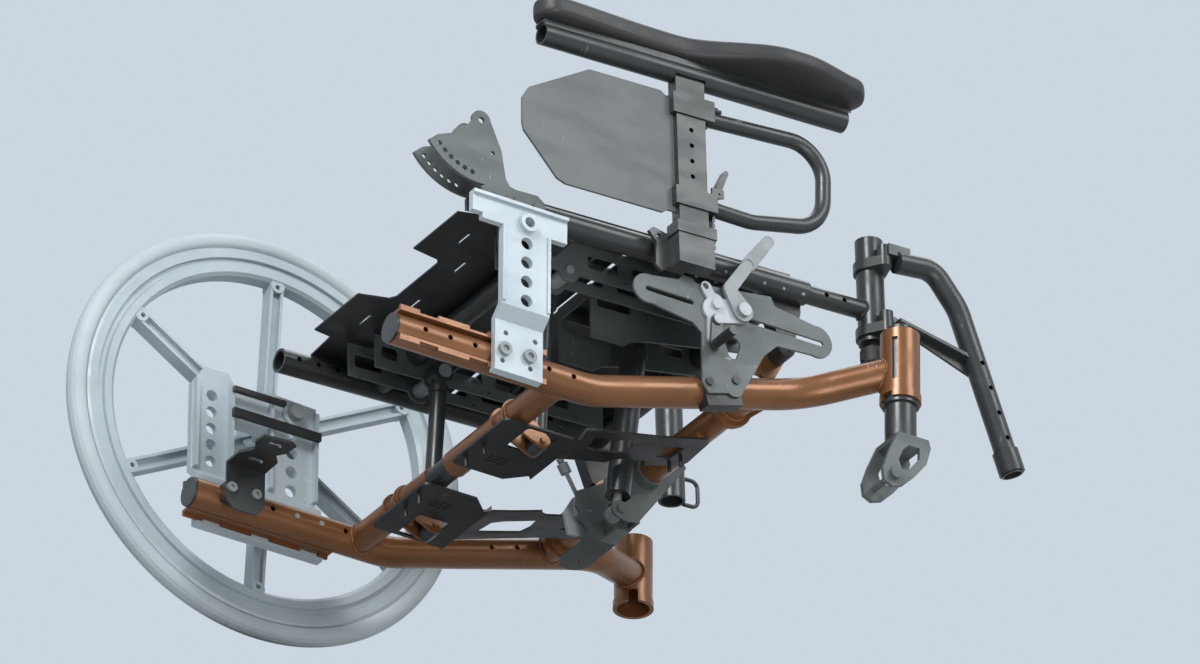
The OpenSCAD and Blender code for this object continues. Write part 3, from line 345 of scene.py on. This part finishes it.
def loft(rings, wrap=False):
    """Joins rings of equal size into one closed skin."""
    n, m = len(rings), len(rings[0])
    verts = [p for r in rings for p in r]
    faces = []
    for i in range(n if wrap else n - 1):
        a, b = i * m, ((i + 1) % n) * m
        for j in range(m):
            k = (j + 1) % m
            faces.append((a + j, a + k, b + k, b + j))
    if not wrap:
        faces.append(tuple(reversed(range(m))))
        faces.append(tuple((n - 1) * m + j for j in range(m)))
    return verts, faces


def outward(o):
    b = bmesh.new()
    b.from_mesh(o.data)
    bmesh.ops.recalc_face_normals(b, faces=b.faces)
    b.to_mesh(o.data)
    b.free()
    return o


print("mesh helpers ready")

# %% [markdown]
# The arm pad is foam moulded round a board: straight on the inner side, drawn in at the waist and
# broad at the front on the outer side, crowned on top, with a parting line low on its side and a
# channel underneath. Sculpting would give lumps that no mould makes, so each ring across the pad
# is worked out from its place along it.

# %% Arm pad
PAD_IN = 233.4
PAD_OUT = 279
PAD_BACK = 18.4
PAD_LENGTH = 429.2
PAD_MID_Z = 548
PAD_CROWN = 13.2
PAD_UNDER = 13.6
ARM_X = 251
CHANNEL_DEEP = 1.3
CHANNEL_HALF = 11
SEAM_PROUD = 0.012
SEAM_AT = -0.42
SEAM_HALF = 0.10
SIDE_ROUND = 0.55
TOP_ROUND = 0.62
END_FROM = 0.9
END_RUN = 0.1
END_THIN = 0.55
PAD_STEPS = 96
PAD_POINTS = 72


def ease(t):
    t = min(1.0, max(0.0, t))
    return t * t * (3 - 2 * t)


def pad_out(t):
    """Outer edge of the pad, with t from 0 at the back to 1 at the front."""
    waist = 9 * ease(t / 0.4)
    swell = 40.5 * ease((t - 0.42) / 0.3)
    nose = 22 * ease((t - 0.76) / 0.24)
    return PAD_OUT - waist + swell - nose


def pad_ring(t):
    past = (abs(2 * t - 1) - END_FROM) / END_RUN
    end = 1.0 if past <= 0 else math.sqrt(max(0.004, 1 - past * past))
    c, h = (PAD_IN + pad_out(t)) / 2, (pad_out(t) - PAD_IN) / 2 * end
    top = PAD_CROWN + 0.6 * math.sin(3.0 * t + 0.6)
    ring = []
    for j in range(PAD_POINTS):
        a = 2 * math.pi * j / PAD_POINTS
        ca, sa = math.cos(a), math.sin(a)
        px = math.copysign(abs(ca) ** SIDE_ROUND, ca)
        pz = math.copysign(abs(sa) ** TOP_ROUND, sa)
        seam = 1 + SEAM_PROUD * math.exp(-((sa - SEAM_AT) / SEAM_HALF) ** 2)
        z = PAD_MID_Z + pz * (top if pz > 0 else PAD_UNDER) * (END_THIN + 0.45 * end)
        if pz < -0.8:
            z += CHANNEL_DEEP * math.exp(-((c + h * px - ARM_X) / CHANNEL_HALF) ** 2)
        ring.append(S(c + h * px * seam, PAD_BACK + PAD_LENGTH * t, z))
    return ring


steps = [0.5 - 0.5 * math.cos(math.pi * i / PAD_STEPS) for i in range(PAD_STEPS + 1)]
v, f = loft([pad_ring(t) for t in steps])
pad = outward(mesh_object("arm_pad_foam", v, f, "pad_foam"))
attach(pad, "arm")
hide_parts("arm_pad")
print("arm pad:", len(pad.data.polygons), "faces")

# %% [markdown]
# The tyre is pale, with a raised ring beside the rim and, as a guess, two shallow grooves on each
# side of its tread. The same section holds all the way round, so the section is drawn once and
# carried about the axle. A Screw modifier would do it as well, but the skin is already here.

# %% Tyre
TYRE_X = -313
AXLE_Z = 258
SECTION_CENTRE = 246.1
SECTION_R = 12.3
SECTION_POINTS = 120
SECTION_HALF_TURN = 112
TREAD_GROOVES = (14, 42)
GROOVE_DEEP = 0.55
GROOVE_HALF = 2.2
SIDE_RING = 84
SIDE_RING_PROUD = 0.35
SIDE_RING_HALF = 3.0
GROOVE_PULL = 30
BEAD_SEAT = [(238.3, 8.8), (234.4, 0.0), (238.3, -8.8)]
TYRE_STEPS = 180


def tyre_profile():
    """Radius from the axle and offset from the middle of the tyre, once round its section."""
    pts = []
    for i in range(SECTION_POINTS + 1):
        a = math.radians(-SECTION_HALF_TURN + 2 * SECTION_HALF_TURN * i / SECTION_POINTS)
        r = SECTION_CENTRE + SECTION_R * math.cos(a)
        x = SECTION_R * math.sin(a)
        deg = abs(math.degrees(a))
        cut = sum(GROOVE_DEEP * math.exp(-((deg - g) / GROOVE_HALF) ** 2) for g in TREAD_GROOVES)
        rise = SIDE_RING_PROUD * math.exp(-((deg - SIDE_RING) / SIDE_RING_HALF) ** 2)
        pts.append((r - cut * math.cos(a) + rise * math.cos(a), x * (1 - cut / GROOVE_PULL)))
    return pts + BEAD_SEAT


profile = tyre_profile()
rings = []
for k in range(TYRE_STEPS):
    a = 2 * math.pi * k / TYRE_STEPS
    rings.append([D(TYRE_X + x, r * math.cos(a), AXLE_Z + r * math.sin(a)) for r, x in profile])
v, f = loft(rings, wrap=True)
tyre = outward(mesh_object("tyre_skin", v, f, "tyre"))
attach(tyre, "wheel")
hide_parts("wheel_tyre")
print("tyre:", len(tyre.data.polygons), "faces")

# %% [markdown]
# A weld is a row of overlapping puddles, and a rivet is a dome, so both are small balls set on
# points. A Geometry Nodes tree puts a ball on each point it is given. Its radius, spread of sizes
# and seed are inputs, so one tree makes the welds and the rivets.

# %% Beads on points
def bead_tree():
    t = bpy.data.node_groups.new("beads on points", "GeometryNodeTree")
    socket(t, "Geometry", "NodeSocketGeometry")
    socket(t, "Radius", "NodeSocketFloat", 0.002)
    socket(t, "Spread", "NodeSocketFloat", 0.1)
    socket(t, "Detail", "NodeSocketInt", 2)
    socket(t, "Seed", "NodeSocketInt", 1)
    socket(t, "Surface", "NodeSocketMaterial")
    socket(t, "Geometry", "NodeSocketGeometry", out=True)
    i, o = t.nodes.new("NodeGroupInput"), t.nodes.new("NodeGroupOutput")
    ball = t.nodes.new("GeometryNodeMeshIcoSphere")
    t.links.new(i.outputs["Radius"], ball.inputs["Radius"])
    t.links.new(i.outputs["Detail"], ball.inputs["Subdivisions"])
    low = math_node(t, "SUBTRACT", 1.0, i.outputs["Spread"])
    rand = t.nodes.new("FunctionNodeRandomValue")
    rand.data_type = "FLOAT"
    smallest, largest = [s for s in rand.inputs if s.type == "VALUE" and s.enabled][:2]
    t.links.new(low, smallest)
    largest.default_value = 1.0
    t.links.new(i.outputs["Seed"], rand.inputs["Seed"])
    inst = t.nodes.new("GeometryNodeInstanceOnPoints")
    t.links.new(i.outputs["Geometry"], inst.inputs["Points"])
    t.links.new(ball.outputs["Mesh"], inst.inputs["Instance"])
    t.links.new([s for s in rand.outputs if s.enabled][0], inst.inputs["Scale"])
    real = t.nodes.new("GeometryNodeRealizeInstances")
    t.links.new(inst.outputs["Instances"], real.inputs[0])
    shade = t.nodes.new("GeometryNodeSetShadeSmooth")
    t.links.new(real.outputs[0], shade.inputs[0])
    mat = t.nodes.new("GeometryNodeSetMaterial")
    t.links.new(shade.outputs[0], mat.inputs["Geometry"])
    t.links.new(i.outputs["Surface"], mat.inputs["Material"])
    t.links.new(mat.outputs[0], o.inputs[0])
    return t


BEADS = bead_tree()
print("tree:", BEADS.name)

# %% [markdown]
# The wheel lock bites the tyre with a short bar that is ribbed along its length. Cutting grooves
# would need a new mesh for the bar. A crown of thin boxes round its axis looks the same, and a tree
# with a count and a radius lays them out.

# %% Ribs round an axis
def rib_tree():
    t = bpy.data.node_groups.new("ribs round an axis", "GeometryNodeTree")
    socket(t, "Geometry", "NodeSocketGeometry")
    socket(t, "Count", "NodeSocketInt", 24)
    socket(t, "Radius", "NodeSocketFloat", 0.005)
    socket(t, "Length", "NodeSocketFloat", 0.01)
    socket(t, "Width", "NodeSocketFloat", 0.001)
    socket(t, "Surface", "NodeSocketMaterial")
    socket(t, "Geometry", "NodeSocketGeometry", out=True)
    i, o = t.nodes.new("NodeGroupInput"), t.nodes.new("NodeGroupOutput")
    ring = t.nodes.new("GeometryNodeMeshCircle")
    t.links.new(i.outputs["Count"], ring.inputs["Vertices"])
    t.links.new(i.outputs["Radius"], ring.inputs["Radius"])
    size = t.nodes.new("ShaderNodeCombineXYZ")
    t.links.new(i.outputs["Width"], size.inputs[0])
    t.links.new(i.outputs["Width"], size.inputs[1])
    t.links.new(i.outputs["Length"], size.inputs[2])
    cube = t.nodes.new("GeometryNodeMeshCube")
    t.links.new(size.outputs[0], cube.inputs["Size"])
    pos = t.nodes.new("GeometryNodeInputPosition")
    turn = t.nodes.new("FunctionNodeAlignRotationToVector")
    turn.axis = "X"
    t.links.new(pos.outputs[0], turn.inputs["Vector"])
    inst = t.nodes.new("GeometryNodeInstanceOnPoints")
    t.links.new(ring.outputs[0], inst.inputs["Points"])
    t.links.new(cube.outputs["Mesh"], inst.inputs["Instance"])
    t.links.new(turn.outputs[0], inst.inputs["Rotation"])
    real = t.nodes.new("GeometryNodeRealizeInstances")
    t.links.new(inst.outputs["Instances"], real.inputs[0])
    mat = t.nodes.new("GeometryNodeSetMaterial")
    t.links.new(real.outputs[0], mat.inputs["Geometry"])
    t.links.new(i.outputs["Surface"], mat.inputs["Material"])
    t.links.new(mat.outputs[0], o.inputs[0])
    return t


RIBS = rib_tree()
print("tree:", RIBS.name)

# %% [markdown]
# The export doesn't keep instances, so a tree's result has to become a plain mesh. The tree runs as
# a modifier on a throwaway object, the evaluated mesh is kept, and the object goes. What is kept
# rides on one body, so that it moves with the joint.

# %% Run a tree
def grow(name, tree, points, slot, body, to_row=None, **values):
    seed = bpy.data.meshes.new(name + "_points")
    seed.from_pydata([tuple(p) for p in points], [], [])
    tmp = bpy.data.objects.new(name + "_source", seed)
    bpy.context.scene.collection.objects.link(tmp)
    mod = tmp.modifiers.new("grow", "NODES")
    mod.node_group = tree
    ids = {s.name: s.identifier for s in tree.interface.items_tree if s.in_out == "INPUT"}
    for k, val in values.items():
        mod[ids[k]] = val
    mod[ids["Surface"]] = MAT[slot]
    deps = bpy.context.evaluated_depsgraph_get()
    me = bpy.data.meshes.new_from_object(tmp.evaluated_get(deps))
    bpy.data.objects.remove(tmp)
    me.name = name
    if to_row is not None:
        me.transform(to_row)
    o = bpy.data.objects.new(name, me)
    bpy.context.scene.collection.objects.link(o)
    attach(o, body)
    print(name, "has", len(me.polygons), "faces")
    return o


print("ready to grow pieces")

# %% [markdown]
# A welded tube meets the next one along a saddle shaped line. That line could be found with a
# boolean, but the two round bars have a formula: walk from the rim of one bar along its axis to the
# skin of the other. The beads sit on that line.

# %% Lines where bars meet
def joint_ring(centre, axis, r, onto, onto_axis, big, n):
    """Points where a round bar of radius r meets one of radius big, walked inward along the bar."""
    c, u, w, o = Vector(centre), Vector(axis).normalized(), Vector(onto_axis).normalized(), Vector(onto)
    e = u.cross(w)
    e = e.normalized()
    g = u.cross(e)
    pts = []
    for i in range(n):
        a = 2 * math.pi * i / n
        p = c + r * (math.cos(a) * e + math.sin(a) * g)
        s = p - o
        s1, u1 = s - s.dot(w) * w, u - u.dot(w) * w
        aa, bb, cc = u1.dot(u1), 2 * s1.dot(u1), s1.dot(s1) - big * big
        disc = bb * bb - 4 * aa * cc
        if disc <= 0:
            continue
        pts.append(p + u * (-bb - math.sqrt(disc)) / (2 * aa))
    return pts


def ring_points(centre, axis, r, n):
    u = Vector(axis).normalized()
    e = u.orthogonal().normalized()
    g = u.cross(e)
    return [Vector(centre) + r * (math.cos(2 * math.pi * i / n) * e + math.sin(2 * math.pi * i / n) * g)
            for i in range(n)]


print("weld line helpers ready")

# %% [markdown]
# The base is welded where its cross tubes and gussets meet the rails and where each rail meets its
# caster housing. Each bead circle stands half a millimetre or so outside the CAD tube, so that the
# beads show without floating.

# %% Weld beads on the base
RAIL_X = 217.5
RAIL_SKIN = 18.5
HOUSING_SKIN = 23.0
SLEEVE_SKIN = 16.6
COLLAR_SKIN = 16.8
INSIDE_X = 150
REAR_CROSS = (68, 98)
FRONT_CROSS = (318, 159.5)
ACROSS = (1, 0, 0)
FORWARD = (0, 1, 0)
UPRIGHT = (0, 0, 1)
RAIL_RISE = (0, 277, 81.1)
GUSSET_SIDES = (100.9, 129.1)
COLLAR_X = 183.4
RAIL_Z = 98
BEND_Y = 108
RAIL_END = (228, 402, 184)
TO_HOUSING = (63.5, 93, 28.9)
RAIL_END_SKIN = 18.6
HOUSING = (281, 478, 0)


def on_side(s, p):
    """The point p of the right side, or its mirror on the left where s is -1."""
    return (s * p[0], p[1], p[2])


base_welds = []
for s in (-1, 1):
    outboard = (s, 0, 0)
    base_welds += joint_ring((s * INSIDE_X, *REAR_CROSS), outboard, SLEEVE_SKIN,
                             (s * RAIL_X, 0, RAIL_Z), FORWARD, RAIL_SKIN, 54)
    base_welds += joint_ring((s * INSIDE_X, *FRONT_CROSS), outboard, SLEEVE_SKIN,
                             (s * RAIL_X, BEND_Y, RAIL_Z), RAIL_RISE, RAIL_SKIN, 54)
    base_welds += joint_ring(on_side(s, RAIL_END), on_side(s, TO_HOUSING), RAIL_END_SKIN,
                             on_side(s, HOUSING), UPRIGHT, HOUSING_SKIN, 60)
    base_welds += ring_points((s * COLLAR_X, *FRONT_CROSS), ACROSS, COLLAR_SKIN, 52)
    for x in GUSSET_SIDES:
        base_welds += ring_points((s * x, *REAR_CROSS), ACROSS, SLEEVE_SKIN, 50)[6:40]
grow("welds_base", BEADS, [D(*p) for p in base_welds], "copper_paint", "base",
     Radius=0.0019, Spread=0.25, Detail=2, Seed=4)

# %% [markdown]
# The seat frame is lighter tube, so its beads are smaller. They are a piece of their own, because
# the seat tilts and they have to go with it.

# %% Weld beads on the seat
SEAT_RAIL_X = 212
SEAT_RAIL_SKIN = 14.8
SEAT_CROSS_SKIN = 13.0
SEAT_CROSS_Y = (89, 372)
RECEIVER_Y = 485
RECEIVER_SKIN = 16.5
INNER_RAIL_SKIN = 11.6
INNER_RAIL_Y = 420

seat_welds = []
for s in (-1, 1):
    for y in SEAT_CROSS_Y:
        seat_welds += joint_ring((s * INSIDE_X, y, SEAT_Z), (s, 0, 0), SEAT_CROSS_SKIN,
                                 (s * SEAT_RAIL_X, 0, SEAT_Z), FORWARD, SEAT_RAIL_SKIN, 46)
    seat_welds += joint_ring((s * SEAT_RAIL_X, INNER_RAIL_Y, SEAT_Z), FORWARD, INNER_RAIL_SKIN,
                             (s * SEAT_RAIL_X, RECEIVER_Y, 0), UPRIGHT, RECEIVER_SKIN, 42)
grow("welds_seat", BEADS, [S(*p) for p in seat_welds], "dark_tube", "seat",
     Radius=0.0016, Spread=0.25, Detail=2, Seed=5)

# %% [markdown]
# From below, the right seat rail shows rows of pale dots in the photo, taken here as rivets. The
# rivets along the top tracks can't be seen and are guessed. Each could be modelled by hand, but the
# bead tree sets all of them on a list of points, with almost no spread in size.

# %% Rivets
RIVET_R = 14.2
RIVET_ANGLES = (-38, -128)
TRACK_RIVET_X = (-212.5, 212.5)
TRACK_RIVET_Z = 322.6

rivets = []
for y in range(230, 396, 26):
    for angle in RIVET_ANGLES:
        a = math.radians(angle)
        rivets.append(S(SEAT_RAIL_X + RIVET_R * math.cos(a), y, SEAT_Z + RIVET_R * math.sin(a)))
for y in range(20, 370, 58):
    for x in TRACK_RIVET_X:
        rivets.append(S(x, y, TRACK_RIVET_Z))
grow("seat_rivets", BEADS, rivets, "bright_steel", "seat", Radius=0.0022, Spread=0.05, Detail=3, Seed=2)

# %% [markdown]
# The tree lays the ribs round its own upright axis, so they are turned to lie across the chair and.
# The turn goes into the mesh, because every finished piece has to sit at the origin.
# # set on the bar of the lock shoe. The turn goes into the mesh, so that the finished piece sits at
# # the origin.

# %% Grip of the lock shoe
SHOE_BAR = (268, 255, 190.5)
to_shoe = Matrix.Translation(D(*SHOE_BAR)) @ Matrix.Rotation(math.radians(90), 4, "Y")
grow("shoe_knurl", RIBS, [], "dark_tube", "lock_foot", to_row=to_shoe,
     Count=26, Radius=0.0054, Length=0.026, Width=0.0009)

# %% [markdown]
# The photo looks up from under the chair, so a plain floor would hide everything. The floor here is
# clear from below and pale from above: the Backfacing output tells the two sides apart. It casts no
# shadow, so the lamps under it still reach the chair.

# %% Floor
FLOOR_HALF = 9
FLOOR_Z = -0.6


def floor_surface():
    m = bpy.data.materials.new("pale floor")
    m.use_nodes = True
    t = m.node_tree
    bsdf = t.nodes["Principled BSDF"]
    place = node(t, "ShaderNodeTexCoord").outputs["Object"]
    cloud = band(t, noise(t, place, 3.0), 0.3, 0.7)
    color = mix_color(t, cloud, (0.50, 0.52, 0.54, 1), (0.47, 0.49, 0.51, 1))
    t.links.new(color, bsdf.inputs["Base Color"])
    bsdf.inputs["Roughness"].default_value = 0.85
    clear = node(t, "ShaderNodeBsdfTransparent")
    mix = node(t, "ShaderNodeMixShader")
    t.links.new(node(t, "ShaderNodeNewGeometry").outputs["Backfacing"], mix.inputs[0])
    t.links.new(bsdf.outputs[0], mix.inputs[1])
    t.links.new(clear.outputs[0], mix.inputs[2])
    t.links.new(mix.outputs[0], t.nodes["Material Output"].inputs["Surface"])
    return m


me = bpy.data.meshes.new("floor")
z0 = D(0, 0, FLOOR_Z).z
corners = [(x * FLOOR_HALF, y * FLOOR_HALF, z0) for x, y in ((-1, -1), (1, -1), (1, 1), (-1, 1))]
me.from_pydata(corners, [], [(0, 1, 2, 3)])
me.materials.append(floor_surface())
floor = bpy.data.objects.new("floor", me)
bpy.context.scene.collection.objects.link(floor)
floor.visible_shadow = False
print("floor at", round(z0, 4))

# %% [markdown]
# The backdrop is a plain pale blue grey. If that blue also lit the chair, its dark paint would go
# flat, so the Light Path node gives the camera and mirror rays the pale tone and everything else a
# darker one.

# %% Backdrop
world = bpy.data.worlds.new("studio")
bpy.context.scene.world = world
world.use_nodes = True
tree = world.node_tree
seen = node(tree, "ShaderNodeLightPath").outputs["Is Camera Ray"]
glossy = node(tree, "ShaderNodeLightPath").outputs["Is Glossy Ray"]
pale = math_node(tree, "MAXIMUM", seen, glossy)
tree.links.new(mix_color(tree, pale, (0.36, 0.38, 0.40, 1), (0.60, 0.67, 0.74, 1)),
               tree.nodes["Background"].inputs["Color"])
print("backdrop:", world.name)

# %% [markdown]
# Three soft lamps stand around the view: key above it, under below it and side to its right, so
# that the underside reads. Their places are given by the camera's own directions, because that is
# how a photographer places them. A wide fourth lamp hangs over the chair for views from above.

# %% Light
BACK = Vector((0.7340, -0.4562, -0.5033)).normalized()
RIGHT = Vector((0.5308, 0.8474, 0.0060)).normalized()
UP = Vector((0.4237, -0.2715, 0.8640)).normalized()
CENTRE = D(0, 190, 280)


def area(name, direction, distance, size, watts, color=(1, 1, 1)):
    light = bpy.data.lights.new(name, "AREA")
    light.size = size
    light.energy = watts
    light.color = color
    o = bpy.data.objects.new(name, light)
    o.location = CENTRE + Vector(direction).normalized() * distance
    o.rotation_euler = (CENTRE - o.location).to_track_quat("-Z", "Y").to_euler()
    bpy.context.scene.collection.objects.link(o)


area("key", BACK * 0.5 + UP * 0.95 - RIGHT * 0.25, 2.8, 0.9, 58)
area("under", BACK * 1.0 - UP * 0.15 + RIGHT * 0.45, 2.8, 0.8, 26, (1.0, 0.99, 0.97))
area("side", RIGHT * 1.0 + UP * 0.8 + BACK * 0.2, 3.0, 1.2, 26)
area("top", Vector((-0.2, 0.3, 1.0)), 3.4, 2.2, 34, (0.97, 0.99, 1.0))
print("lamps:", len(bpy.data.lights))

# %% [markdown]
# In the photo, lines that are parallel on the chair stay close to parallel, so the view is taken as
# one without perspective. A long lens from far away comes close to that. At the chair the picture
# is 1.356 m wide, which is 1.13 mm for each of the photo's 1200 pixels.

# %% Camera
LENS = 400
SENSOR = 36
VIEW_WIDTH = 1.356

cam = bpy.data.cameras.new("camera")
cam.lens = LENS
cam.sensor_width = SENSOR
cam.clip_end = 200
camera = bpy.data.objects.new("camera", cam)
target = RIGHT * -0.0381 + UP * 0.3192 + BACK * 0.28
camera.location = target + BACK * (VIEW_WIDTH * LENS / SENSOR)
camera.matrix_world = Matrix((
    (RIGHT.x, UP.x, BACK.x, camera.location.x),
    (RIGHT.y, UP.y, BACK.y, camera.location.y),
    (RIGHT.z, UP.z, BACK.z, camera.location.z),
    (0, 0, 0, 1)))
bpy.context.scene.collection.objects.link(camera)
bpy.context.scene.camera = camera
bpy.context.scene.view_settings.view_transform = "Standard"
print("camera", [round(c, 3) for c in camera.location])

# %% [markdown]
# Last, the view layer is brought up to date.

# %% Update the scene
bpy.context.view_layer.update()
